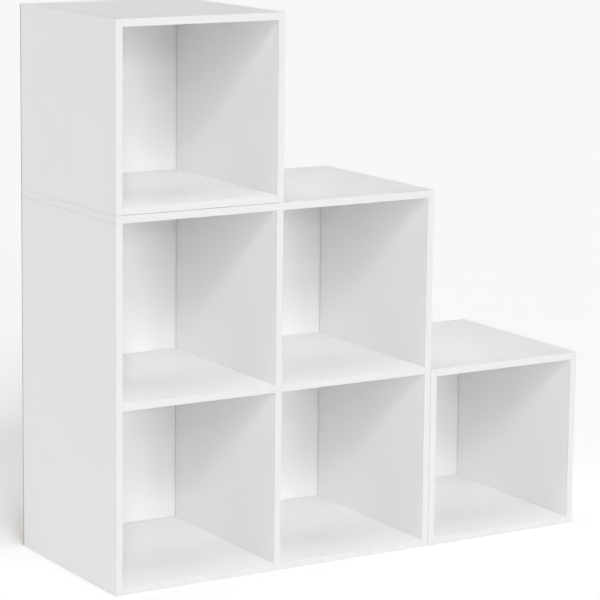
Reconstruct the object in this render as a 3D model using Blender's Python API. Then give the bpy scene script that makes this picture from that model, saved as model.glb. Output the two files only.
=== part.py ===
"""Stepped cube bookcase: a base of two by two cells, a cube on its left column and a cube beside it.

Run with: blender --background --python part.py
Lengths are in metres, +Z is up, and the open cells face -Y.
The origin is on the floor, below the middle of the whole bookcase.
"""

import math
from collections import defaultdict
from typing import NamedTuple

import bmesh
import bpy
from mathutils import Matrix, Vector

# Boards
BOARD = 0.015
BOARD_DEPTH = 0.397
CELL_WIDTH = 0.336
CUBE_HEIGHT = 0.366
ARRIS = 0.001
ARRIS_STEPS = 2

# Hardboard backs, nailed over the rear edges
BACK_THICKNESS = 0.003
BACK_REVEAL = 0.0005

# Clearances: between faces that touch, between two boxes, round a fixing and past its tip
FIT_GAP = 0.0003
UNIT_GAP = 0.0005
BORE_CLEARANCE = 0.0003
BORE_SPARE = 0.0005
CUT_OVERRUN = 0.002

# Board left behind a blind bore in a face, and above a cam lock
BORE_COVER = 0.0035
CAM_COVER = 0.003

# Where the fixings stand in the depth of the boards
FIXING_FROM_FRONT = 0.08
FIXING_FROM_REAR = 0.08

# Fluted beech dowels
DOWEL_RADIUS = 0.004
DOWEL_LENGTH = 0.03
THROUGH_DOWEL_LENGTH = 0.05
DOWEL_CHAMFER = 0.001
FLUTE_DEPTH = 0.0004
FLUTES = 8

# Connecting bolts, from the thread in a side panel to the head in a cam lock
THREAD_RADIUS = 0.0025
THREAD_TAPER = 0.0015
COLLAR_RADIUS = 0.0036
COLLAR_THICKNESS = 0.002
SHANK_RADIUS = 0.003
NECK_RADIUS = 0.0018
NECK_RUN = 0.001
HEAD_RADIUS = 0.003
HEAD_LENGTH = 0.003
HEAD_CHAMFER = 0.0008
BOLT_SIDES = 8

# Cam locks
CAM_RADIUS = 0.0075
CAM_SETBACK = 0.034
CAM_RECESS = 0.0005
CAM_WALL = 0.0012
CAM_THROW = 0.001
CAM_CHAMFER = 0.0005
CAM_SIDES = 16
CAM_ENTRY_ANGLE = math.radians(150)
CAM_SLOT_OVERTRAVEL = math.radians(28)
SLOT_STEPS = 6
DRIVE_LENGTH = 0.0075
DRIVE_WIDTH = 0.0014
DRIVE_DEPTH = 0.0018

BORE_SIDES = 12

# Sizes of the boxes that follow from the boards
CUBE_WIDTH = CELL_WIDTH + 2 * BOARD
BASE_WIDTH = 2 * CELL_WIDTH + 3 * BOARD
BASE_HEIGHT = 2 * CUBE_HEIGHT
TOTAL_WIDTH = BASE_WIDTH + UNIT_GAP + CUBE_WIDTH
TOTAL_DEPTH = BOARD_DEPTH + FIT_GAP + BACK_THICKNESS
LEFT_X = -TOTAL_WIDTH / 2
FRONT_Y = -TOTAL_DEPTH / 2
REAR_Y = FRONT_Y + BOARD_DEPTH
FIXING_FRONT_Y = FRONT_Y + FIXING_FROM_FRONT
FIXING_REAR_Y = REAR_Y - FIXING_FROM_REAR

# Sizes of the fixings that follow from the board
FACE_BORE_DEPTH = BOARD - BORE_COVER
FIXING_IN_FACE = FACE_BORE_DEPTH - BORE_SPARE
DOWEL_IN_END = DOWEL_LENGTH - FIXING_IN_FACE - FIT_GAP
THROUGH_DOWEL_IN_END = (THROUGH_DOWEL_LENGTH - BOARD) / 2 - FIT_GAP
CAM_HEIGHT = BOARD - CAM_COVER - CAM_RECESS
CAM_CAVITY_RADIUS = CAM_RADIUS - CAM_WALL - CAM_THROW
BOLT_LEVEL_IN_CAM = BOARD / 2 - CAM_RECESS
CAM_CAVITY_FLATS = CAM_CAVITY_RADIUS * math.cos(math.pi / CAM_SIDES)
SHOULDER_FROM_CAM_AXIS = math.sqrt(CAM_CAVITY_FLATS**2 - (HEAD_RADIUS + BORE_CLEARANCE) ** 2) - CAM_THROW

LEFT = Vector((-1, 0, 0))
RIGHT = Vector((1, 0, 0))
REAR = Vector((0, 1, 0))
DOWN = Vector((0, 0, -1))
UP = Vector((0, 0, 1))

# Colour, roughness and metallic value of each finish
WHITE_MELAMINE = ((0.86, 0.86, 0.85, 1), 0.42, 0)
WHITE_HARDBOARD = ((0.8, 0.79, 0.77, 1), 0.55, 0)
BEECH = ((0.62, 0.43, 0.25, 1), 0.7, 0)
ZINC = ((0.6, 0.61, 0.63, 1), 0.35, 1)
STEEL = ((0.55, 0.56, 0.57, 1), 0.3, 1)


class Board(NamedTuple):
    """A board between two corners, with the directions of its faces that have no edge band."""

    low: Vector
    high: Vector
    unbanded: tuple


class Bore(NamedTuple):
    """A round blind hole: the middle of its mouth, the way in, its radius and its depth."""

    mouth: Vector
    into: Vector
    radius: float
    depth: float


def clear_scene():
    for obj in list(bpy.data.objects):
        bpy.data.objects.remove(obj)


def group(name, corner):
    """An empty at a box's front, left and bottom corner, which carries the box's pieces."""
    empty = bpy.data.objects.new(name, None)
    empty.location = corner
    bpy.context.collection.objects.link(empty)
    return empty


def finished(name, finish):
    colour, roughness, metallic = finish
    material = bpy.data.materials.new(f"{name}_finish")
    material.use_nodes = True
    shader = material.node_tree.nodes["Principled BSDF"]
    shader.inputs["Base Color"].default_value = colour
    shader.inputs["Roughness"].default_value = roughness
    shader.inputs["Metallic"].default_value = metallic
    return material


def place(name, mesh, parent, location, rotation=None):
    """An object of a mesh, at a place in the world, carried by its parent."""
    obj = bpy.data.objects.new(name, mesh)
    bpy.context.collection.objects.link(obj)
    obj.parent = parent
    obj.location = location - parent.location
    if rotation is not None:
        obj.rotation_mode = "QUATERNION"
        obj.rotation_quaternion = rotation
    return obj


def piece(name, mesh, finish, parent, location, rotation=None):
    """A visible piece, with a mesh copy that holds its own finish."""
    obj = place(name, mesh.copy(), parent, location, rotation)
    obj.data.name = name
    obj.data.materials.append(finished(name, finish))
    return obj


def hidden_guide(obj):
    obj.hide_render = True
    obj.display_type = "WIRE"
    return obj


def combine(obj, other, operation):
    """Cut or join one object with another, as a modifier that stays."""
    modifier = obj.modifiers.new(other.name, "BOOLEAN")
    modifier.operation = operation
    modifier.solver = "EXACT"
    modifier.object = hidden_guide(other)


def mesh_from(bm, name):
    mesh = bpy.data.meshes.new(name)
    bm.normal_update()
    bm.to_mesh(mesh)
    bm.free()
    return mesh


def add_loft(bm, rings):
    """Skin closed rings of points, one after another, and cap the first and the last."""
    loops = [[bm.verts.new(point) for point in ring] for ring in rings]
    for lower, upper in zip(loops, loops[1:]):
        for index, corner in enumerate(lower):
            after = (index + 1) % len(lower)
            bm.faces.new((corner, lower[after], upper[after], upper[index]))
    bm.faces.new(tuple(reversed(loops[0])))
    bm.faces.new(tuple(loops[-1]))


def turned_ring(radius, height, sides, flute=0.0):
    """A ring round +Z; a flute draws in every second point."""
    points = []
    for side in range(sides):
        angle = math.tau * side / sides
        reach = radius - flute * (side % 2)
        points.append(Vector((reach * math.cos(angle), reach * math.sin(angle), height)))
    return points


def turned_mesh(name, profile, sides, flute=0.0):
    """A solid turned round +Z from (height, radius) pairs that rise."""
    bm = bmesh.new()
    add_loft(bm, [turned_ring(radius, height, sides, flute) for height, radius in profile])
    mesh = mesh_from(bm, name)
    mesh.shade_smooth()
    mesh.set_sharp_from_angle(angle=math.radians(40))
    return mesh


def extruded_mesh(name, outline, bottom, top):
    """A prism of an (x, y) outline that runs anticlockwise."""
    bm = bmesh.new()
    add_loft(bm, [[Vector((x, y, height)) for x, y in outline] for height in (bottom, top)])
    return mesh_from(bm, name)


def board_mesh(name, board):
    """A board about its own middle; every edge between banded or large faces has a small round."""
    size = board.high - board.low
    bm = bmesh.new()
    bmesh.ops.create_cube(bm, size=1, matrix=Matrix.Diagonal(size.to_4d()))
    bm.normal_update()
    hidden = {face for face in bm.faces if any(face.normal.dot(way) > 0 for way in board.unbanded)}
    rounded = [edge for edge in bm.edges if not hidden.intersection(edge.link_faces)]
    bmesh.ops.bevel(
        bm, geom=rounded, offset=ARRIS, offset_type="OFFSET", segments=ARRIS_STEPS, profile=0.5,
        affect="EDGES", clamp_overlap=True,
    )
    return mesh_from(bm, name)


def bore_cutter(name, bores, middle):
    """Cylinders for bores that don't meet, about the middle of their board."""
    bm = bmesh.new()
    for bore in bores:
        turn = bore.into.to_track_quat("Z", "Y").to_matrix().to_4x4()
        shift = Matrix.Translation(bore.mouth - middle)
        rings = [turned_ring(bore.radius, height, BORE_SIDES) for height in (-CUT_OVERRUN, bore.depth)]
        add_loft(bm, [[shift @ turn @ point for point in ring] for ring in rings])
    return mesh_from(bm, name)


def around(radius):
    """The corner radius of a round bore whose flats clear a fixing of this radius."""
    return (radius + BORE_CLEARANCE) / math.cos(math.pi / BORE_SIDES)


class Joinery:
    """The boards of the bookcase, the bores that its joints ask for, and the fixings in them."""

    def __init__(self):
        self.boards = {}
        self.parents = {}
        self.bores = defaultdict(list)
        self.glued_dowels = defaultdict(list)
        self.dowel = dowel_mesh("dowel", -DOWEL_IN_END, FIT_GAP + FIXING_IN_FACE)
        self.through_dowel = dowel_mesh(
            "through_dowel", -THROUGH_DOWEL_LENGTH / 2, THROUGH_DOWEL_LENGTH / 2
        )
        self.bolt = bolt_mesh("bolt")
        self.cam = cam_mesh("cam")

    def board(self, name, parent, across, rising, unbanded=()):
        """A full-depth board over a range of x and a range of z."""
        low = Vector((across[0], FRONT_Y, rising[0]))
        high = Vector((across[1], REAR_Y, rising[1]))
        self.boards[name] = Board(low, high, (REAR, *unbanded))
        self.parents[name] = parent

    def seat(self, name, toward, y):
        """The point in the middle of a board's end, where a fixing leaves it."""
        board = self.boards[name]
        middle = (board.low + board.high) / 2
        reach = (board.high - board.low) / 2
        return Vector((middle.x + reach.x * toward.x, y, middle.z + reach.z * toward.z))

    def bore(self, name, mouth, into, radius, depth):
        self.bores[name].append(Bore(mouth, into, radius, depth))

    def dowel_bores(self, ended, faced, toward, y):
        seat = self.seat(ended, toward, y)
        radius = around(DOWEL_RADIUS)
        self.bore(faced, seat + toward * FIT_GAP, toward, radius, FACE_BORE_DEPTH)
        return seat

    def dowelled(self, name, ended, faced, toward, y):
        """A dowel from the end of one board into the face of another."""
        seat = self.dowel_bores(ended, faced, toward, y)
        self.bore(ended, seat, -toward, around(DOWEL_RADIUS), DOWEL_IN_END + BORE_SPARE)
        turn = toward.to_track_quat("Z", "Y")
        piece(name, self.dowel, BEECH, self.parents[ended], seat, turn)

    def dowelled_and_glued(self, ended, faced, toward, y):
        """A dowel that is glued in the end of its board, and is one piece with it."""
        seat = self.dowel_bores(ended, faced, toward, y)
        self.glued_dowels[ended].append((seat, toward))

    def dowelled_through(self, name, board, above, below, y):
        """A long dowel through a board, which holds the dividers above and below it."""
        for ended, way in ((above, DOWN), (below, UP)):
            seat = self.seat(ended, way, y)
            self.bore(ended, seat, -way, around(DOWEL_RADIUS), THROUGH_DOWEL_IN_END + BORE_SPARE)
        middle = self.seat(above, DOWN, y) - UP * (FIT_GAP + BOARD / 2)
        self.bore(board, middle - UP * BOARD / 2, UP, around(DOWEL_RADIUS), BOARD + CUT_OVERRUN)
        piece(name, self.through_dowel, BEECH, self.parents[board], middle)

    def cam_locked(self, name, ended, faced, toward, y):
        """A bolt in the face of a side panel, held by a cam lock in the end of a level board."""
        seat = self.seat(ended, toward, y)
        self.bore(faced, seat + toward * FIT_GAP, toward, around(THREAD_RADIUS), FACE_BORE_DEPTH)
        self.bore(ended, seat, -toward, around(COLLAR_RADIUS), CAM_SETBACK)
        under = seat - toward * CAM_SETBACK - UP * BOARD / 2
        self.bore(ended, under, UP, around(CAM_RADIUS), CAM_RECESS + CAM_HEIGHT + BORE_CLEARANCE)
        parent = self.parents[ended]
        turn = toward.to_track_quat("Z", "Y")
        piece(f"{name}_bolt", self.bolt, STEEL, parent, seat, turn)
        turn = toward.to_track_quat("X", "Z")
        piece(f"{name}_cam", self.cam, ZINC, parent, under + UP * CAM_RECESS, turn)

    def level_board_end(self, name, ended, faced, toward):
        """One end of a level board: a dowel in front and a cam lock behind."""
        self.dowelled(f"{name}_dowel", ended, faced, toward, FIXING_FRONT_Y)
        self.cam_locked(name, ended, faced, toward, FIXING_REAR_Y)

    def make_boards(self):
        for name, board in self.boards.items():
            middle = (board.low + board.high) / 2
            obj = piece(name, board_mesh(name, board), WHITE_MELAMINE, self.parents[name], middle)
            for axis, label in enumerate(("level", "deep", "upright")):
                bores = [bore for bore in self.bores[name] if bore.into[axis]]
                if bores:
                    mesh = bore_cutter(f"{name}_{label}_bores", bores, middle)
                    combine(obj, place(mesh.name, mesh, self.parents[name], middle), "DIFFERENCE")
            for index, (seat, toward) in enumerate(self.glued_dowels[name]):
                turn = toward.to_track_quat("Z", "Y")
                dowel = place(f"{name}_glued_dowel_{index}", self.dowel, self.parents[name], seat, turn)
                combine(obj, dowel, "UNION")


def dowel_mesh(name, bottom, top):
    """A fluted dowel with chamfered ends, from one height to another along +Z."""
    profile = (
        (bottom, DOWEL_RADIUS - DOWEL_CHAMFER),
        (bottom + DOWEL_CHAMFER, DOWEL_RADIUS),
        (top - DOWEL_CHAMFER, DOWEL_RADIUS),
        (top, DOWEL_RADIUS - DOWEL_CHAMFER),
    )
    return turned_mesh(name, profile, 2 * FLUTES, FLUTE_DEPTH)


def bolt_mesh(name):
    """A connecting bolt along +Z: head, neck, shank and collar in the board end, thread beyond it."""
    shoulder = SHOULDER_FROM_CAM_AXIS - CAM_SETBACK
    head_end = shoulder - HEAD_LENGTH
    neck_end = CAM_RADIUS + NECK_RUN - CAM_SETBACK
    thread_end = FIT_GAP + FIXING_IN_FACE
    profile = (
        (head_end, HEAD_RADIUS - HEAD_CHAMFER),
        (head_end + HEAD_CHAMFER, HEAD_RADIUS),
        (shoulder, HEAD_RADIUS),
        (shoulder, NECK_RADIUS),
        (neck_end, NECK_RADIUS),
        (neck_end + SHANK_RADIUS - NECK_RADIUS, SHANK_RADIUS),
        (-COLLAR_THICKNESS, SHANK_RADIUS),
        (-COLLAR_THICKNESS, COLLAR_RADIUS),
        (0, COLLAR_RADIUS),
        (0, THREAD_RADIUS),
        (thread_end - THREAD_TAPER, THREAD_RADIUS),
        (thread_end, THREAD_RADIUS - THREAD_TAPER),
    )
    return turned_mesh(name, profile, BOLT_SIDES)


def cam_mesh(name):
    """A cam lock round +Z, face down, turned until its neck slot holds a bolt that lies along +X."""
    profile = (
        (0, CAM_RADIUS - CAM_CHAMFER),
        (CAM_CHAMFER, CAM_RADIUS),
        (CAM_HEIGHT, CAM_RADIUS),
    )
    anchor = group("cam_bench", Vector((0, 0, 0)))
    body = place(name, turned_mesh(name, profile, CAM_SIDES), anchor, anchor.location)
    cutters = [
        place(mesh.name, mesh, anchor, anchor.location)
        for mesh in (cam_cavity(), cam_entry(), cam_neck_slot(), cam_drive("cam_drive_along", 0),
                     cam_drive("cam_drive_across", math.pi / 2))
    ]
    for cutter in cutters:
        combine(body, cutter, "DIFFERENCE")
    bpy.context.view_layer.update()
    finished_body = body.evaluated_get(bpy.context.evaluated_depsgraph_get())
    mesh = bpy.data.meshes.new_from_object(finished_body)
    mesh.name = name
    for obj in (*cutters, body, anchor):
        bpy.data.objects.remove(obj)
    return mesh


def cam_cavity():
    """The off-centre pocket that draws the bolt's head in as the cam turns."""
    half = HEAD_RADIUS + BORE_CLEARANCE
    profile = [(BOLT_LEVEL_IN_CAM + way * half, CAM_CAVITY_RADIUS) for way in (-1, 1)]
    mesh = turned_mesh("cam_cavity", profile, CAM_SIDES)
    mesh.transform(Matrix.Translation(LEFT * CAM_THROW))
    return mesh


def cam_entry():
    """The round way in for the bolt's head, from the rim to the pocket."""
    radius = around(HEAD_RADIUS)
    mesh = turned_mesh("cam_entry", ((0, radius), (CAM_RADIUS + CUT_OVERRUN, radius)), BORE_SIDES)
    way = Vector((math.cos(CAM_ENTRY_ANGLE), math.sin(CAM_ENTRY_ANGLE), 0))
    mesh.transform(way.to_track_quat("Z", "Y").to_matrix().to_4x4())
    mesh.transform(Matrix.Translation(UP * BOLT_LEVEL_IN_CAM))
    return mesh


def cam_neck_slot():
    """The slot round the rim, which lets the neck pass from the way in to the locked place."""
    reach = CAM_RADIUS + CUT_OVERRUN
    span = CAM_ENTRY_ANGLE + CAM_SLOT_OVERTRAVEL
    outline = [(0, 0)]
    for step in range(SLOT_STEPS + 1):
        angle = -CAM_SLOT_OVERTRAVEL + span * step / SLOT_STEPS
        outline.append((reach * math.cos(angle), reach * math.sin(angle)))
    half = NECK_RADIUS + BORE_CLEARANCE
    return extruded_mesh(
        "cam_neck_slot", outline, BOLT_LEVEL_IN_CAM - half, BOLT_LEVEL_IN_CAM + half
    )


def cam_drive(name, angle):
    """One bar of the cross that a screwdriver turns, open at the face."""
    x = DRIVE_LENGTH / 2
    y = DRIVE_WIDTH / 2
    outline = ((-x, -y), (x, -y), (x, y), (-x, y))
    mesh = extruded_mesh(name, outline, -CUT_OVERRUN, DRIVE_DEPTH)
    mesh.transform(Matrix.Rotation(angle, 4, "Z"))
    return mesh


def back_panel(name, parent, across, rising):
    """A hardboard sheet over the rear edges of one box, a little smaller than the box."""
    low = Vector((across[0] + BACK_REVEAL, REAR_Y + FIT_GAP, rising[0] + BACK_REVEAL))
    high = Vector((across[1] - BACK_REVEAL, low.y + BACK_THICKNESS, rising[1] - BACK_REVEAL))
    board = Board(low, high, (LEFT, RIGHT, REAR, UP, DOWN, -REAR))
    piece(name, board_mesh(name, board), WHITE_HARDBOARD, parent, (low + high) / 2)


def single_cube(joinery, name, left, bottom):
    """A cube of four boards: sides of the full height, with the top and the bottom between them."""
    right = left + CUBE_WIDTH
    top = bottom + CUBE_HEIGHT
    parent = group(name, Vector((left, FRONT_Y, bottom)))
    between = (left + BOARD + FIT_GAP, right - BOARD - FIT_GAP)
    sides = ((f"{name}_left_side", LEFT), (f"{name}_right_side", RIGHT))
    joinery.board(sides[0][0], parent, (left, left + BOARD), (bottom, top))
    joinery.board(sides[1][0], parent, (right - BOARD, right), (bottom, top))
    for level, rising in (("top", (top - BOARD, top)), ("bottom", (bottom, bottom + BOARD))):
        panel = f"{name}_{level}_panel"
        joinery.board(panel, parent, between, rising, (LEFT, RIGHT))
        for (side, toward), hand in zip(sides, ("left", "right")):
            joinery.level_board_end(f"{name}_{level}_{hand}", panel, side, toward)
    back_panel(f"{name}_back", parent, (left, right), (bottom, top))


def base_unit(joinery, name, left, bottom):
    """Two by two cells: the top lies over the sides, the shelf runs through between two dividers."""
    right = left + BASE_WIDTH
    top = bottom + BASE_HEIGHT
    under_top = top - BOARD
    shelf_bottom = bottom + (BASE_HEIGHT - BOARD) / 2
    shelf_top = shelf_bottom + BOARD
    divider_left = left + BOARD + CELL_WIDTH
    parent = group(name, Vector((left, FRONT_Y, bottom)))
    between = (left + BOARD + FIT_GAP, right - BOARD - FIT_GAP)
    divider_across = (divider_left, divider_left + BOARD)
    names = {
        part: f"{name}_{part}"
        for part in ("top_panel", "bottom_panel", "middle_shelf", "left_side", "right_side",
                     "upper_divider", "lower_divider")
    }

    joinery.board(names["top_panel"], parent, (left, right), (under_top, top))
    joinery.board(names["left_side"], parent, (left, left + BOARD), (bottom, under_top - FIT_GAP), (UP,))
    joinery.board(names["right_side"], parent, (right - BOARD, right), (bottom, under_top - FIT_GAP), (UP,))
    joinery.board(names["bottom_panel"], parent, between, (bottom, bottom + BOARD), (LEFT, RIGHT))
    joinery.board(names["middle_shelf"], parent, between, (shelf_bottom, shelf_top), (LEFT, RIGHT))
    joinery.board(names["upper_divider"], parent, divider_across,
                  (shelf_top + FIT_GAP, under_top - FIT_GAP), (UP, DOWN))
    joinery.board(names["lower_divider"], parent, divider_across,
                  (bottom + BOARD + FIT_GAP, shelf_bottom - FIT_GAP), (UP, DOWN))

    for hand, toward in (("left", LEFT), ("right", RIGHT)):
        side = names[f"{hand}_side"]
        joinery.level_board_end(f"{name}_bottom_{hand}", names["bottom_panel"], side, toward)
        for place_name, y in (("front", FIXING_FRONT_Y), ("rear", FIXING_REAR_Y)):
            dowel = f"{name}_shelf_{hand}_{place_name}_dowel"
            joinery.dowelled(dowel, names["middle_shelf"], side, toward, y)
            dowel = f"{name}_top_{hand}_{place_name}_dowel"
            joinery.dowelled(dowel, side, names["top_panel"], UP, y)
    for place_name, y in (("front", FIXING_FRONT_Y), ("rear", FIXING_REAR_Y)):
        joinery.dowelled_and_glued(names["upper_divider"], names["top_panel"], UP, y)
        joinery.dowelled_and_glued(names["lower_divider"], names["bottom_panel"], DOWN, y)
        joinery.dowelled_through(f"{name}_shelf_{place_name}_through_dowel", names["middle_shelf"],
                                 names["upper_divider"], names["lower_divider"], y)
    back_panel(f"{name}_back", parent, (left, right), (bottom, top))


def main():
    clear_scene()
    joinery = Joinery()
    base_unit(joinery, "base", LEFT_X, 0)
    single_cube(joinery, "top_cube", LEFT_X, BASE_HEIGHT + UNIT_GAP)
    single_cube(joinery, "side_cube", LEFT_X + BASE_WIDTH + UNIT_GAP, 0)
    joinery.make_boards()


main()
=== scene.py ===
"""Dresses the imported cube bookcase: melamine boards, edge bands, hardboard backs, nails and a studio."""

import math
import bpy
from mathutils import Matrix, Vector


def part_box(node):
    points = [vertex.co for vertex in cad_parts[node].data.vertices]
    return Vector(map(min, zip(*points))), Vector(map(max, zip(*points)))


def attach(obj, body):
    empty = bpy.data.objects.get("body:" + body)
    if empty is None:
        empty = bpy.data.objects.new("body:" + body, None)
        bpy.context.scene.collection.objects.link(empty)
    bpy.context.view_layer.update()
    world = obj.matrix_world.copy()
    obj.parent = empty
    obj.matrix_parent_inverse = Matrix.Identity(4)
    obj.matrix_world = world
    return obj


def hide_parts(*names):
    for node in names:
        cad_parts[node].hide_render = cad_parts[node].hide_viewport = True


bl_info = {
    "name": "Stepped cube bookcase",
    "version": (1, 0, 0),
    "blender": (4, 5, 0),
    "location": "3D View > Sidebar > Bookcase",
    "description": "Melamine boards, edge bands, backs, nails and fixings of a stepped cube bookcase",
    "category": "Object",
}

import bmesh
import bpy
from bpy.props import FloatProperty, FloatVectorProperty, IntProperty, PointerProperty
from mathutils import Matrix, Vector

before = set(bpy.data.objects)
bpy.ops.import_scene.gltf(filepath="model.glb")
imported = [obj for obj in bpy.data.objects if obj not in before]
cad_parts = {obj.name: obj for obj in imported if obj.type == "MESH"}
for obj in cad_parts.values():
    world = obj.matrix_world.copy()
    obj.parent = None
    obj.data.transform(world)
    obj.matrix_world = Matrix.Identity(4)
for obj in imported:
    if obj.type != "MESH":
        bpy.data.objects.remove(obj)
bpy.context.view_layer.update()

BODY = "root"

# The directions in which boards have faces and ends, and the opposite of each
WAYS = {
    "left": Vector((-1, 0, 0)),
    "right": Vector((1, 0, 0)),
    "front": Vector((0, -1, 0)),
    "rear": Vector((0, 1, 0)),
    "down": Vector((0, 0, -1)),
    "up": Vector((0, 0, 1)),
}
OPPOSITE = {"left": "right", "right": "left", "front": "rear", "rear": "front", "down": "up", "up": "down"}

# Numbers of the axes that run across the bookcase's front and up it
ACROSS, RISING = 0, 2

# Vertices closer than this are one, and a vertex this near a board's end lies on it
WELD = 0.00001

# A cut passes through a vertex that is nearer than this
CUT_TOLERANCE = WELD / 10

# Depth behind a board's front in which it has no dowel
FRONT_STRIP = 0.01

# Depth of the rounded edges of the frame's boards
EASED_EDGE = 0.001

# A board's face is sawn or bored if no more than this share of its normal points out of the large faces
SAWN_END = 0.1

# A sheet's large faces have more than this share of their normals along the depth, its eased edges less
LARGE_FACE = 0.9

# A block's face looks along a direction if more than this share of its normal does
LOOKS_ALONG = 0.5

# Faces that meet at a smaller angle are shaded as one surface
SHARP_EDGE = math.radians(35)

# The ends of each board that carry an edge band, and those that butt against a neighbour
LEVEL_BOARD = (("front",), ("left", "right"))
CUBE_SIDE = (("front", "up", "down"), ())
BASE_SIDE = (("front", "down"), ("up",))
DIVIDER = (("front",), ("up", "down"))
BOARDS = {
    "base_top_panel": (("front", "left", "right"), ()),
    "base_left_side": BASE_SIDE,
    "base_right_side": BASE_SIDE,
    "base_bottom_panel": LEVEL_BOARD,
    "base_middle_shelf": LEVEL_BOARD,
    "base_upper_divider": DIVIDER,
    "base_lower_divider": DIVIDER,
    "top_cube_left_side": CUBE_SIDE,
    "top_cube_right_side": CUBE_SIDE,
    "top_cube_top_panel": LEVEL_BOARD,
    "top_cube_bottom_panel": LEVEL_BOARD,
    "side_cube_left_side": CUBE_SIDE,
    "side_cube_right_side": CUBE_SIDE,
    "side_cube_top_panel": LEVEL_BOARD,
    "side_cube_bottom_panel": LEVEL_BOARD,
}

# What each back is nailed to between its edges; the upper divider stands for the lower one too
BACKS = {
    "base_back": ("base_middle_shelf", "base_upper_divider"),
    "top_cube_back": (),
    "side_cube_back": (),
}

# The boards whose ends stand on another box
STANDING = {"top_cube_left_side": "base_top_panel", "top_cube_right_side": "base_top_panel"}

# The finishes of a board's core, of a back, and of the fixings by the ends of their names
CORE_FINISHES = ("white_melamine", "raw_chipboard", "bare_beech")
BACK_FINISHES = ("white_back_lacquer", "bare_hardboard", "sawn_hardboard")
FIXING_FINISHES = {"_dowel": "bare_beech", "_bolt": "bright_steel", "_cam": "cast_zinc"}

# A nail's head: sides of each ring, and the rings' shares of the head's radius and of its rise
NAIL_SIDES = 12
NAIL_RINGS = ((1.0, -0.2), (1.0, 0.35), (0.8, 0.8), (0.4, 1.0))

# Most values of a noise lie between these
NOISE_SPREAD = (0.35, 0.65)

# Numbers of a Mix node's sockets for colours, which share their names with its other sockets
MIX_FACTOR, MIX_FIRST, MIX_SECOND, MIX_RESULT = 0, 6, 7, 2

# Each soft light's azimuth from the front view, its elevation and the angle that it fills, in degrees
LIGHT_WAYS = {
    "overhead": (0, 88, 40),
    "key": (-10, 45, 14),
    "second_key": (-25, 32, 14),
    "left_key": (-30, 36, 8),
    "left_fill": (-30, 20, 5),
    "left_low": (-18, 14, 5),
    "front_low": (5, 8, 14),
    "right_low": (15, 8, 20),
}

# Heights in the sky, as sines of the elevation, between which its pale horizon fades
HORIZON = (0.11, 0.18)


def length(name, description, default):
    return FloatProperty(
        name=name, description=description, default=default, min=0, precision=5,
        subtype="DISTANCE", unit="LENGTH",
    )


def colour(name, description, default):
    return FloatVectorProperty(
        name=name, description=description, default=default, size=3, min=0, max=1, subtype="COLOR",
    )


def steps(name, description, default, least):
    return IntProperty(name=name, description=description, default=default, min=least)


def brightness(name, description, default):
    return FloatProperty(name=name, description=description, default=default, min=0)


def turn(name, description, degrees):
    return FloatProperty(
        name=name, description=description, default=math.radians(degrees), subtype="ANGLE", unit="ROTATION",
    )


class BoardSizes(bpy.types.PropertyGroup):
    """Sizes of what finishes the boards."""

    band: length("Edge band", "Thickness of the edge bands", 0.001)
    band_round: length("Band round", "Radius along the outer edges of a band", 0.0005)
    glue_line: length("Glue line", "Gap between a band and its board", 0.00008)
    fit_gap: length("Fit gap", "Gap that the frame leaves between boards that touch", 0.0003)
    joint_line: length("Joint line", "Gap that shows between boards that touch", 0.00005)
    round_steps: steps("Round steps", "Facets round a band's edge", 3, 1)


class BackSizes(bpy.types.PropertyGroup):
    """Sizes of the hardboard backs and their nails."""

    stand_off: length("Stand-off", "How far a sheet stands off its place in the frame", 0.0009)
    bow: length("Bow", "How much further it stands off in the middle of a cell", 0.0008)
    eased: length("Eased edge", "Radius of the sheets' edges", 0.0004)
    eased_steps: steps("Eased steps", "Facets round a sheet's edge", 2, 1)
    bow_steps: steps("Bow steps", "Strips across each cell of a sheet", 12, 2)
    nail_head: length("Nail head", "Radius of a nail's head", 0.0016)
    nail_rise: length("Nail rise", "Height of a nail's head above the sheet", 0.0005)
    nail_inset: length("Nail inset", "Distance of the outer nails from the sheet's edge", 0.0075)
    nail_spacing: length("Nail spacing", "Largest distance from one nail to the next", 0.12)


class Finishes(bpy.types.PropertyGroup):
    """Colours of the materials."""

    melamine: colour("Melamine", "White melamine faces", (0.91, 0.91, 0.91))
    # The edge band colour is painted shade: the real bands are white like the faces, darkened here to tone
    # down the strongly lit front edges
    band: colour("Edge band", "Bands on the front edges", (0.615, 0.615, 0.615))
    lacquer: colour("Lacquer", "White face of the backs", (0.9, 0.9, 0.9))
    chipboard: colour("Chipboard", "Core of the boards", (0.47, 0.4, 0.31))
    hardboard: colour("Hardboard", "Bare side of the backs", (0.36, 0.24, 0.14))
    # A plain grey for the sawn edges of the backs, darker than the faces
    sawn_edge: colour("Sawn edge", "Dusty sawn edges of the backs", (0.42, 0.4, 0.37))
    beech: colour("Beech", "Dowels", (0.62, 0.43, 0.25))
    zinc: colour("Zinc", "Cam locks", (0.6, 0.61, 0.63))
    steel: colour("Steel", "Bolts and nails", (0.55, 0.56, 0.57))


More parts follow.
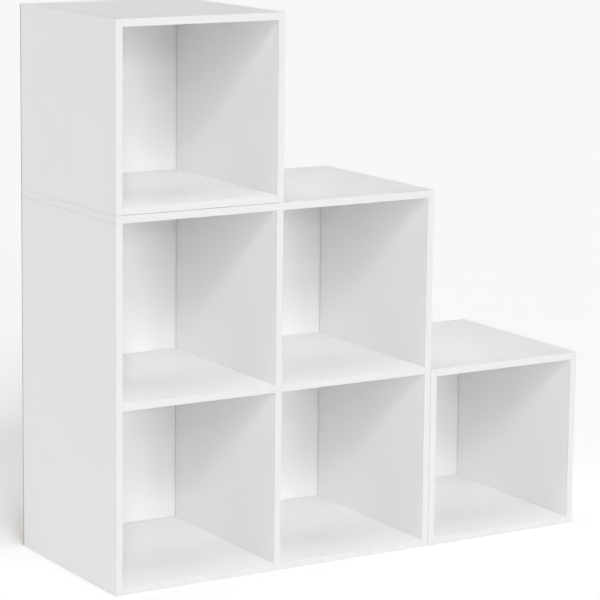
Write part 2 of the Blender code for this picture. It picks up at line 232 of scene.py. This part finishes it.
class Studio(bpy.types.PropertyGroup):
    """The floor, the lights and the camera."""

    camera_place: FloatVectorProperty(
        name="Camera place", description="Where the camera stands", default=(-2.8354, -4.5396, 1.5123),
        subtype="TRANSLATION", unit="LENGTH",
    )
    azimuth: turn("Azimuth", "Turn of the camera from the front view", -30.3)
    elevation: turn("Elevation", "Tilt of the camera below the level", 9.53)
    roll: turn("Roll", "Turn of the camera about its own axis", 0.37)
    lens: FloatProperty(name="Lens", description="Focal length", default=160.5, unit="CAMERA")
    shift_x: FloatProperty(name="Shift X", description="Sideways shift of the view", default=0.12)
    shift_y: FloatProperty(name="Shift Y", description="Upward shift of the view", default=-0.1)
    floor_colour: colour("Floor", "Pale floor", (0.985, 0.985, 0.985))
    floor_reach: length("Floor reach", "Distance from the middle of the floor to its edges", 30.0)
    floor_drop: length("Floor drop", "Gap between the bookcase and the floor", 0.0002)
    sky: brightness("Sky", "Even light from above the horizon", 0.065)
    horizon: brightness("Horizon", "Brightness of the sky at the horizon", 0.715)
    overhead: brightness("Overhead", "Light from straight above", 0.5)
    key: brightness("Key", "Light from the front and high up", 0.187)
    second_key: brightness("Second key", "Light from near the camera's side, at a lower angle", 0.219)
    left_key: brightness("Left key", "Light from the camera's side", 0.098)
    left_fill: brightness("Left fill", "Light from the camera's side, lower still", 0.074)
    left_low: brightness("Left low", "Light between front and camera, low", 0.1)
    front_low: brightness("Front low", "Light from the front, just above the floor", 0.056)
    right_low: brightness("Right low", "Light from the right of the front, just above the floor", 0.197)


class Recipe:
    """A material in the making: its nodes, its shader, and the textures that feed it."""

    def __init__(self, name):
        self.material = bpy.data.materials.new(name)
        self.material.use_nodes = True
        self.tree = self.material.node_tree
        self.shader = self.tree.nodes["Principled BSDF"]
        self.place = self.tree.nodes.new("ShaderNodeTexCoord").outputs["Object"]
        self.normal = None

    def add(self, kind, **inputs):
        """A node with its inputs, each a value or an output of another node."""
        node = self.tree.nodes.new(kind)
        for name, value in inputs.items():
            socket = node.inputs[name.replace("_", " ")]
            if isinstance(value, bpy.types.NodeSocket):
                self.tree.links.new(value, socket)
            else:
                socket.default_value = value
        return node

    def stretched(self, scale):
        """The place on the object, with another scale along each axis."""
        return self.add("ShaderNodeMapping", Vector=self.place, Scale=scale).outputs["Vector"]

    def noise(self, scale, detail=2.0, roughness=0.5, place=None):
        node = self.add(
            "ShaderNodeTexNoise",
            Vector=place or self.place, Scale=scale, Detail=detail, Roughness=roughness,
        )
        return node.outputs["Fac"]

    def cells(self, scale):
        """The distance from the middle of the nearest cell."""
        return self.add("ShaderNodeTexVoronoi", Vector=self.place, Scale=scale).outputs["Distance"]

    def between(self, value, low, high, spread=NOISE_SPREAD):
        """A texture's value, taken from its own spread to lie between two numbers."""
        node = self.add(
            "ShaderNodeMapRange",
            Value=value, From_Min=spread[0], From_Max=spread[1], To_Min=low, To_Max=high,
        )
        return node.outputs["Result"]

    def mixed(self, share, first, second):
        """Two colours, or colour outputs, mixed by a share."""
        node = self.tree.nodes.new("ShaderNodeMix")
        node.data_type = "RGBA"
        self.tree.links.new(share, node.inputs[MIX_FACTOR])
        for number, value in ((MIX_FIRST, first), (MIX_SECOND, second)):
            if isinstance(value, bpy.types.NodeSocket):
                self.tree.links.new(value, node.inputs[number])
            else:
                node.inputs[number].default_value = (*value, 1)
        return node.outputs[MIX_RESULT]

    def shades(self, share, tone, first, second):
        """A colour that runs from one factor of a tone to another, by a share."""
        return self.mixed(share, shade(tone, first), shade(tone, second))

    def feed(self, name, output):
        """Links an output to one of the shader's inputs."""
        self.tree.links.new(output, self.shader.inputs[name])

    def set(self, **values):
        """Sets the shader's inputs that are the same all over."""
        for name, value in values.items():
            self.shader.inputs[name.replace("_", " ")].default_value = value

    def relief(self, height, depth, amount):
        """Lays relief of a depth in metres over what the shader's normal has so far."""
        node = self.add("ShaderNodeBump", Height=height, Distance=depth, Strength=amount)
        if self.normal is not None:
            self.tree.links.new(self.normal, node.inputs["Normal"])
        self.normal = node.outputs["Normal"]
        self.feed("Normal", self.normal)


def shade(tone, factor):
    """A colour made lighter or darker by a factor."""
    return tuple(factor * part for part in tone)


def melamine(recipe, finishes):
    """Printed white paper in resin: a faint cloud, a pearl relief and a satin sheen that varies."""
    cloud = recipe.between(recipe.noise(3.0, detail=3.0), 0, 1)
    fleck = recipe.between(recipe.noise(900.0, detail=1.0), 0, 1)
    paper = recipe.shades(cloud, finishes.melamine, 1, 0.988)
    flecked = recipe.shades(cloud, finishes.melamine, 0.985, 0.975)
    sheen = recipe.noise(14.0, detail=4.0, roughness=0.6)
    recipe.feed("Base Color", recipe.mixed(fleck, paper, flecked))
    recipe.feed("Roughness", recipe.between(sheen, 0.34, 0.44))
    recipe.set(Specular_IOR_Level=0.5)
    recipe.relief(recipe.noise(650.0), depth=0.00004, amount=0.35)
    recipe.relief(recipe.noise(90.0, detail=1.0), depth=0.00006, amount=0.12)


def edge_band(recipe, finishes):
    """Moulded strip, a little glossier than the faces; its grey colour is painted shade, darker than the
    white of the real band, to tone down the strongly lit front edges.
    """
    cloud = recipe.between(recipe.noise(7.0), 0, 1)
    sheen = recipe.noise(25.0, detail=3.0, roughness=0.6)
    recipe.feed("Base Color", recipe.shades(cloud, finishes.band, 1, 0.985))
    recipe.feed("Roughness", recipe.between(sheen, 0.3, 0.42))
    recipe.set(Specular_IOR_Level=0.5)
    recipe.relief(recipe.noise(800.0), depth=0.00003, amount=0.3)
    recipe.relief(recipe.noise(45.0, detail=1.0), depth=0.00008, amount=0.1)


def chipboard(recipe, finishes):
    """Pressed wood chips of several browns, rough and open."""
    chips = recipe.cells(420.0)
    dust = recipe.noise(1500.0, detail=3.0)
    browns = recipe.shades(recipe.between(chips, 0, 1, spread=(0.1, 0.7)), finishes.chipboard, 1.3, 0.6)
    recipe.feed("Base Color", recipe.mixed(recipe.between(dust, 0, 0.6), browns, finishes.chipboard))
    recipe.set(Roughness=0.92, Specular_IOR_Level=0.2)
    recipe.relief(chips, depth=0.0004, amount=0.6)
    recipe.relief(dust, depth=0.0001, amount=0.4)


def hardboard(recipe, finishes):
    """Bare brown hardboard with matted fibres and the faint print of the press screen."""
    fibres = recipe.noise(260.0, detail=5.0, roughness=0.65, place=recipe.stretched((1.0, 1.0, 0.35)))
    patches = recipe.between(recipe.noise(6.0, detail=3.0), 0, 1)
    fibre = recipe.between(fibres, 0, 1)
    dark = recipe.shades(fibre, finishes.hardboard, 0.8, 1.2)
    light = recipe.shades(fibre, finishes.hardboard, 0.9, 1.3)
    recipe.feed("Base Color", recipe.mixed(patches, dark, light))
    recipe.feed("Roughness", recipe.between(fibres, 0.72, 0.86))
    recipe.set(Specular_IOR_Level=0.25)
    recipe.relief(fibres, depth=0.00012, amount=0.5)
    recipe.relief(recipe.cells(700.0), depth=0.00008, amount=0.35)


def sawn_hardboard(recipe, finishes):
    """The backs' edges: a plain grey, darker than the faces, streaked along pressed layers."""
    layers = recipe.noise(700.0, detail=3.0, roughness=0.6, place=recipe.stretched((0.1, 1.0, 0.1)))
    recipe.feed("Base Color", recipe.shades(recipe.between(layers, 0, 1), finishes.sawn_edge, 0.85, 1.1))
    recipe.set(Roughness=0.9, Specular_IOR_Level=0.2)
    recipe.relief(layers, depth=0.0001, amount=0.5)


def lacquer(recipe, finishes):
    """White roller lacquer on the inner face of the backs."""
    cloud = recipe.between(recipe.noise(4.0, detail=3.0), 0, 1)
    sheen = recipe.noise(18.0, detail=3.0)
    recipe.feed("Base Color", recipe.shades(cloud, finishes.lacquer, 1, 0.985))
    recipe.feed("Roughness", recipe.between(sheen, 0.48, 0.6))
    recipe.set(Specular_IOR_Level=0.4)
    recipe.relief(recipe.noise(500.0), depth=0.00006, amount=0.4)
    recipe.relief(recipe.noise(70.0), depth=0.0001, amount=0.15)


def beech(recipe, finishes):
    """Beech with short dark rays."""
    grain = recipe.noise(500.0, detail=4.0, roughness=0.6, place=recipe.stretched((0.2, 1.0, 1.0)))
    recipe.feed("Base Color", recipe.shades(recipe.between(grain, 0, 1), finishes.beech, 0.75, 1.15))
    recipe.set(Roughness=0.7, Specular_IOR_Level=0.3)
    recipe.relief(grain, depth=0.0001, amount=0.4)


def cast_zinc(recipe, finishes):
    """Die-cast zinc, grey and a little grainy."""
    grain = recipe.noise(1200.0, detail=3.0)
    recipe.feed("Base Color", recipe.shades(recipe.between(grain, 0, 1), finishes.zinc, 0.85, 1.05))
    recipe.feed("Roughness", recipe.between(grain, 0.32, 0.5))
    recipe.set(Metallic=1.0)
    recipe.relief(grain, depth=0.00005, amount=0.4)


def bright_steel(recipe, finishes):
    """Drawn and plated steel with fine scratches."""
    scratch = recipe.noise(900.0, detail=3.0, roughness=0.6, place=recipe.stretched((0.3, 1.0, 1.0)))
    recipe.feed("Base Color", recipe.shades(recipe.between(scratch, 0, 1), finishes.steel, 0.9, 1.1))
    recipe.feed("Roughness", recipe.between(scratch, 0.22, 0.4))
    recipe.set(Metallic=1.0)
    recipe.relief(scratch, depth=0.00003, amount=0.3)


def floor_paint(recipe, studio):
    """Matt pale paper, even all over but for a faint mottle."""
    cloud = recipe.between(recipe.noise(1.5), 0, 1)
    recipe.feed("Base Color", recipe.shades(cloud, studio.floor_colour, 1, 0.995))
    recipe.set(Roughness=0.9, Specular_IOR_Level=0.1)


RECIPES = {
    "white_melamine": melamine,
    "edge_band_painted_shade": edge_band,
    "raw_chipboard": chipboard,
    "bare_hardboard": hardboard,
    "sawn_hardboard": sawn_hardboard,
    "white_back_lacquer": lacquer,
    "bare_beech": beech,
    "cast_zinc": cast_zinc,
    "bright_steel": bright_steel,
    "pale_floor": floor_paint,
}


def finish(name, settings):
    """The material of that name, made at its first use."""
    material = bpy.data.materials.get(name)
    if material is None:
        recipe = Recipe(name)
        RECIPES[name](recipe, settings)
        material = recipe.material
    return material


def board_box(node):
    """The corners of a board without the dowels that stand out of its ends."""
    low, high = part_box(node)
    front = [vert.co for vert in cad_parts[node].data.vertices if vert.co.y < low.y + FRONT_STRIP]
    for axis in (ACROSS, RISING):
        low[axis] = min(place[axis] for place in front)
        high[axis] = max(place[axis] for place in front)
    return low, high


def new_piece(bm, name, materials, smooth=True):
    """A finished mesh object that rides on the bookcase."""
    mesh = bpy.data.meshes.new(name)
    bm.normal_update()
    bm.to_mesh(mesh)
    bm.free()
    for material in materials:
        mesh.materials.append(material)
    obj = bpy.data.objects.new(name, mesh)
    bpy.context.scene.collection.objects.link(obj)
    if smooth:
        mesh.shade_smooth()
        mesh.set_sharp_from_angle(angle=SHARP_EDGE)
        obj.modifiers.new("flat_faces_stay_flat", "WEIGHTED_NORMAL").keep_sharp = True
    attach(obj, BODY)
    return obj


def dress(node, material):
    """Gives a node of the frame its procedural material."""
    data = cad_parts[node].data
    data.materials.clear()
    data.materials.append(material)


def end_of(low, high, way):
    """How far a box reaches in a direction."""
    return max(low.dot(way), high.dot(way))


def add_block(bm, low, high, rounded, radius, facets):
    """A block between two corners; the edges where two faces along rounded ways meet get a radius."""
    size = high - low
    place = Matrix.Translation((low + high) / 2) @ Matrix.Diagonal(size.to_4d())
    made = bmesh.ops.create_cube(bm, size=1, matrix=place)
    faces = {face for vert in made["verts"] for face in vert.link_faces}
    for face in faces:
        face.normal_update()
    soft = {face for face in faces if any(face.normal.dot(way) > LOOKS_ALONG for way in rounded)}
    edges = {edge for face in soft for edge in face.edges if set(edge.link_faces) <= soft}
    bmesh.ops.bevel(
        bm, geom=list(edges), offset=radius, offset_type="OFFSET", segments=facets, profile=0.5,
        affect="EDGES", clamp_overlap=True,
    )


class BOOKCASE_OT_board_cores(bpy.types.Operator):
    """Board cores with melamine faces, cut back where an edge band goes"""

    bl_idname = "bookcase.board_cores"
    bl_label = "Board Cores"

    def execute(self, context):
        sizes = context.scene.bookcase_boards
        finishes = context.scene.bookcase_finishes
        materials = [finish(name, finishes) for name in CORE_FINISHES]
        for node, (banded, butted) in BOARDS.items():
            bm = bmesh.new()
            bm.from_mesh(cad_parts[node].data)
            bmesh.ops.remove_doubles(bm, verts=bm.verts, dist=WELD)
            low, high = board_box(node)
            self.split_faces(bm, low, high)
            self.close_joints(bm, low, high, butted, sizes)
            self.trim(bm, low, high, banded, sizes)
            core = new_piece(bm, f"{node}_core", materials, smooth=False)
            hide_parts(node)
        return {"FINISHED"}

    def close_joints(self, bm, low, high, butted, sizes):
        """Moves each butted end up to its neighbour, but for the joint line."""
        for name in butted:
            way = WAYS[name]
            reach = end_of(low, high, way)
            for vert in bm.verts:
                if abs(vert.co.dot(way) - reach) < WELD:
                    vert.co += way * (sizes.fit_gap - sizes.joint_line)

    def trim(self, bm, low, high, banded, sizes):
        """Cuts the board back behind each edge band and closes the cut."""
        for name in banded:
            way = WAYS[name]
            reach = end_of(low, high, way) - sizes.band - sizes.glue_line
            cut = bmesh.ops.bisect_plane(
                bm, geom=[*bm.verts, *bm.edges, *bm.faces], dist=CUT_TOLERANCE,
                plane_co=way * reach, plane_no=way, clear_outer=True,
            )
            rim = [item for item in cut["geom_cut"] if isinstance(item, bmesh.types.BMEdge)]
            bmesh.ops.edgenet_fill(bm, edges=[edge for edge in rim if edge.is_boundary])

    def split_faces(self, bm, low, high):
        """The large faces and their eased edges are melamine, sawn ends chipboard, glued dowels beech."""
        bm.normal_update()
        size = high - low
        thin, long = (ACROSS, RISING) if size.x < size.z else (RISING, ACROSS)
        for face in bm.faces:
            centre = face.calc_center_median()
            depth = min(centre[thin] - low[thin], high[thin] - centre[thin])
            name = "raw_chipboard"
            if centre[long] < low[long] - WELD or centre[long] > high[long] + WELD:
                name = "bare_beech"
            elif depth < EASED_EDGE and abs(face.normal[thin]) > SAWN_END:
                name = "white_melamine"
            face.material_index = CORE_FINISHES.index(name)


class BOOKCASE_OT_edge_bands(bpy.types.Operator):
    """White strips glued on the front edges and the open ends of the boards"""

    bl_idname = "bookcase.edge_bands"
    bl_label = "Edge Bands"

    def execute(self, context):
        sizes = context.scene.bookcase_boards
        finishes = context.scene.bookcase_finishes
        for node, (banded, butted) in BOARDS.items():
            for name in banded:
                # Front bands take the colour darkened by painted shade; bands on the open ends take the
                # faces' white melamine
                material = finish("edge_band_painted_shade" if name == "front" else "white_melamine", finishes)
                bm = bmesh.new()
                low, high = self.strip(node, name, butted, sizes)
                rounded = self.open_ways(name, butted)
                add_block(bm, low, high, rounded, sizes.band_round, sizes.round_steps)
                new_piece(bm, f"{node}_{name}_band", [material])
        return {"FINISHED"}

    def open_ways(self, name, butted):
        """The directions in which a band has nothing against it: no board, neighbour or front band."""
        closed = {*butted, "rear", OPPOSITE[name]}
        if name != "front":
            closed.add("front")
        return [WAYS[way] for way in WAYS if way not in closed]

    def strip(self, node, name, butted, sizes):
        """The corners of one band: the front band runs over the others, which stop behind it."""
        low, high = board_box(node)
        for other in butted:
            way = WAYS[other]
            corner = high if sum(way) > 0 else low
            corner += way * (sizes.fit_gap - sizes.joint_line)
        if name != "front":
            low.y += sizes.band + sizes.glue_line
        if name == "down" and node in STANDING:
            high.z = low.z + sizes.band
            low.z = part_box(STANDING[node])[1].z + sizes.joint_line
            return low, high
        way = WAYS[name]
        axis = max(range(3), key=lambda index: abs(way[index]))
        if sum(way) > 0:
            low[axis] = high[axis] - sizes.band
        else:
            high[axis] = low[axis] + sizes.band
        return low, high


class BOOKCASE_OT_backs(bpy.types.Operator):
    """Hardboard sheets, white inside and bare behind, bowed a little between their nails"""

    bl_idname = "bookcase.backs"
    bl_label = "Hardboard Backs"

    def execute(self, context):
        sizes = context.scene.bookcase_backs
        finishes = context.scene.bookcase_finishes
        materials = [finish(name, finishes) for name in BACK_FINISHES]
        for node, carriers in BACKS.items():
            low, high = (corner + WAYS["rear"] * sizes.stand_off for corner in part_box(node))
            bm = bmesh.new()
            add_block(bm, low, high, WAYS.values(), sizes.eased, sizes.eased_steps)
            self.split_faces(bm)
            across = self.lines(low, high, carriers, ACROSS)
            rising = self.lines(low, high, carriers, RISING)
            self.bow(bm, across, rising, sizes)
            sheet = new_piece(bm, f"{node}_sheet", materials)
            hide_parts(node)
        return {"FINISHED"}

    def split_faces(self, bm):
        """The inner face is lacquered, the rear face bare and the edges sawn."""
        bm.normal_update()
        for face in bm.faces:
            name = "sawn_hardboard"
            if face.normal.dot(WAYS["front"]) > LARGE_FACE:
                name = "white_back_lacquer"
            elif face.normal.dot(WAYS["rear"]) > LARGE_FACE:
                name = "bare_hardboard"
            face.material_index = BACK_FINISHES.index(name)

    def lines(self, low, high, carriers, axis):
        """Where the sheet is held along an axis: at its edges, and at each board that lies across it."""
        held = [low[axis], high[axis]]
        for carrier in carriers:
            near, far = board_box(carrier)
            size = far - near
            if size[axis] == min(size.x, size.z):
                held.append((near[axis] + far[axis]) / 2)
        return sorted(held)

    def bow(self, bm, across, rising, sizes):
        """Cuts the sheet into strips and pushes the middle of each cell back."""
        for way, lines in ((WAYS["right"], across), (WAYS["up"], rising)):
            for start, end in zip(lines, lines[1:]):
                for step in range(sizes.bow_steps):
                    place = start + (end - start) * step / sizes.bow_steps
                    bmesh.ops.bisect_plane(
                        bm, geom=[*bm.verts, *bm.edges, *bm.faces], dist=CUT_TOLERANCE,
                        plane_co=way * place, plane_no=way,
                    )
        for vert in bm.verts:
            share = self.slack(vert.co.x, across) * self.slack(vert.co.z, rising)
            vert.co.y += sizes.bow * share

    def slack(self, place, lines):
        """0 where the sheet is held, 1 halfway between."""
        for start, end in zip(lines, lines[1:]):
            if start <= place <= end:
                return math.sin(math.pi * (place - start) / (end - start))
        return 0


class BOOKCASE_OT_nails(bpy.types.Operator):
    """Rows of round nail heads on the rear of the backs"""

    bl_idname = "bookcase.nails"
    bl_label = "Back Nails"

    def execute(self, context):
        sizes = context.scene.bookcase_backs
        material = finish("bright_steel", context.scene.bookcase_finishes)
        for node, carriers in BACKS.items():
            low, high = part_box(node)
            bm = bmesh.new()
            for x, z in self.places(low, high, carriers, sizes):
                self.add_head(bm, Vector((x, high.y + sizes.stand_off, z)), sizes)
            new_piece(bm, f"{node}_nails", [material])
        return {"FINISHED"}

    def places(self, low, high, carriers, sizes):
        """Nails round the sheet, and along the shelf and the dividers that it covers."""
        inset = sizes.nail_inset
        left, right = low.x + inset, high.x - inset
        bottom, top = low.z + inset, high.z - inset
        across = self.row(left, right, sizes.nail_spacing)
        rising = self.row(bottom, top, sizes.nail_spacing)
        spots = [(x, z) for x in across for z in (bottom, top)]
        spots += [(x, z) for z in rising[1:-1] for x in (left, right)]
        for carrier in carriers:
            near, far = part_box(carrier)
            middle = (near + far) / 2
            if far.x - near.x > far.z - near.z:
                spots += [(x, middle.z) for x in across[1:-1]]
            else:
                spots += [(middle.x, z) for z in rising[1:-1] if abs(z - near.z) > inset]
        return spots

    def row(self, start, end, spacing):
        """Even places from start to end, no further apart than the spacing."""
        count = math.ceil((end - start) / spacing)
        return [start + (end - start) * index / count for index in range(count + 1)]

    def add_head(self, bm, place, sizes):
        """A low domed head, turned about the nail."""
        rings = []
        for radius_share, rise_share in NAIL_RINGS:
            reach = sizes.nail_head * radius_share
            rise = sizes.nail_rise * rise_share
            ring = []
            for side in range(NAIL_SIDES):
                angle = math.tau * side / NAIL_SIDES
                offset = Vector((reach * math.cos(angle), rise, reach * math.sin(angle)))
                ring.append(bm.verts.new(place + offset))
            rings.append(ring)
        for lower, upper in zip(rings, rings[1:]):
            for side in range(NAIL_SIDES):
                after = (side + 1) % NAIL_SIDES
                bm.faces.new((lower[side], upper[side], upper[after], lower[after]))
        bm.faces.new(rings[0])
        bm.faces.new(tuple(reversed(rings[-1])))


class BOOKCASE_OT_fixings(bpy.types.Operator):
    """Finishes of the dowels, connecting bolts and cam locks of the frame"""

    bl_idname = "bookcase.fixings"
    bl_label = "Dowels, Bolts and Cams"

    def execute(self, context):
        finishes = context.scene.bookcase_finishes
        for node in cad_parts:
            for ending, name in FIXING_FINISHES.items():
                if node.endswith(ending):
                    dress(node, finish(name, finishes))
        return {"FINISHED"}


class BOOKCASE_OT_studio(bpy.types.Operator):
    """A pale floor, soft lights and the camera of the photograph's view"""

    bl_idname = "bookcase.studio"
    bl_label = "Studio"

    def execute(self, context):
        studio = context.scene.bookcase_studio
        self.make_floor(studio)
        self.make_sky(context.scene, studio)
        self.make_lights(context.scene, studio)
        self.make_camera(context.scene, studio)
        return {"FINISHED"}

    def make_floor(self, studio):
        bm = bmesh.new()
        bmesh.ops.create_grid(bm, x_segments=1, y_segments=1, size=studio.floor_reach)
        mesh = bpy.data.meshes.new("studio_floor")
        bm.to_mesh(mesh)
        bm.free()
        mesh.materials.append(finish("pale_floor", studio))
        floor = bpy.data.objects.new("studio_floor", mesh)
        floor.location = (0, 0, -studio.floor_drop)
        bpy.context.scene.collection.objects.link(floor)

    def make_sky(self, scene, studio):
        """A dim sky, pale near the horizon, so that the floor ends against a pale wall of light."""
        world = bpy.data.worlds.new("studio_sky")
        world.use_nodes = True
        tree = world.node_tree
        background = tree.nodes["Background"].inputs
        background["Color"].default_value = (1, 1, 1, 1)
        way = tree.nodes.new("ShaderNodeTexCoord")
        parts = tree.nodes.new("ShaderNodeSeparateXYZ")
        fade = tree.nodes.new("ShaderNodeMapRange")
        fade.inputs["From Min"].default_value, fade.inputs["From Max"].default_value = HORIZON
        fade.inputs["To Min"].default_value = studio.horizon
        fade.inputs["To Max"].default_value = studio.sky
        tree.links.new(way.outputs["Generated"], parts.inputs["Vector"])
        tree.links.new(parts.outputs["Z"], fade.inputs["Value"])
        tree.links.new(fade.outputs["Result"], background["Strength"])
        scene.world = world

    def make_lights(self, scene, studio):
        """Soft suns, each as bright on a white wall that faces it as its setting says."""
        scene.view_settings.view_transform = "Standard"
        for name, (azimuth, elevation, width) in LIGHT_WAYS.items():
            data = bpy.data.lights.new(f"studio_{name}", "SUN")
            data.angle = math.radians(width)
            data.energy = math.pi * getattr(studio, name)
            light = bpy.data.objects.new(data.name, data)
            light.rotation_euler = (math.radians(90 - elevation), 0, math.radians(azimuth))
            scene.collection.objects.link(light)

    def make_camera(self, scene, studio):
        data = bpy.data.cameras.new("studio_camera")
        data.lens = studio.lens
        data.shift_x = studio.shift_x
        data.shift_y = studio.shift_y
        data.clip_end = 2 * studio.floor_reach
        camera = bpy.data.objects.new("studio_camera", data)
        scene.collection.objects.link(camera)
        camera.matrix_world = (
            Matrix.Translation(studio.camera_place)
            @ Matrix.Rotation(studio.azimuth, 4, "Z")
            @ Matrix.Rotation(math.pi / 2 - studio.elevation, 4, "X")
            @ Matrix.Rotation(studio.roll, 4, "Z")
        )
        scene.camera = camera


class BOOKCASE_PT_sidebar(bpy.types.Panel):
    """Lists the steps and the sizes of the bookcase"""

    bl_idname = "BOOKCASE_PT_sidebar"
    bl_label = "Cube Bookcase"
    bl_space_type = "VIEW_3D"
    bl_region_type = "UI"
    bl_category = "Bookcase"

    def draw(self, context):
        for operator in OPERATORS:
            self.layout.operator(operator.bl_idname)
        for group in SETTINGS:
            box = self.layout.box()
            settings = getattr(context.scene, group)
            for name in settings.__annotations__:
                box.prop(settings, name)


OPERATORS = (
    BOOKCASE_OT_board_cores,
    BOOKCASE_OT_edge_bands,
    BOOKCASE_OT_backs,
    BOOKCASE_OT_nails,
    BOOKCASE_OT_fixings,
    BOOKCASE_OT_studio,
)
SETTINGS = {
    "bookcase_boards": BoardSizes,
    "bookcase_backs": BackSizes,
    "bookcase_finishes": Finishes,
    "bookcase_studio": Studio,
}
CLASSES = (*SETTINGS.values(), *OPERATORS, BOOKCASE_PT_sidebar)


def register():
    for member in CLASSES:
        bpy.utils.register_class(member)
    for name, group in SETTINGS.items():
        setattr(bpy.types.Scene, name, PointerProperty(type=group))


def unregister():
    for name in SETTINGS:
        delattr(bpy.types.Scene, name)
    for member in reversed(CLASSES):
        bpy.utils.unregister_class(member)


def main():
    register()
    bpy.ops.bookcase.board_cores()
    bpy.ops.bookcase.edge_bands()
    bpy.ops.bookcase.backs()
    bpy.ops.bookcase.nails()
    bpy.ops.bookcase.fixings()
    bpy.ops.bookcase.studio()


if __name__ == "__main__":
    main()
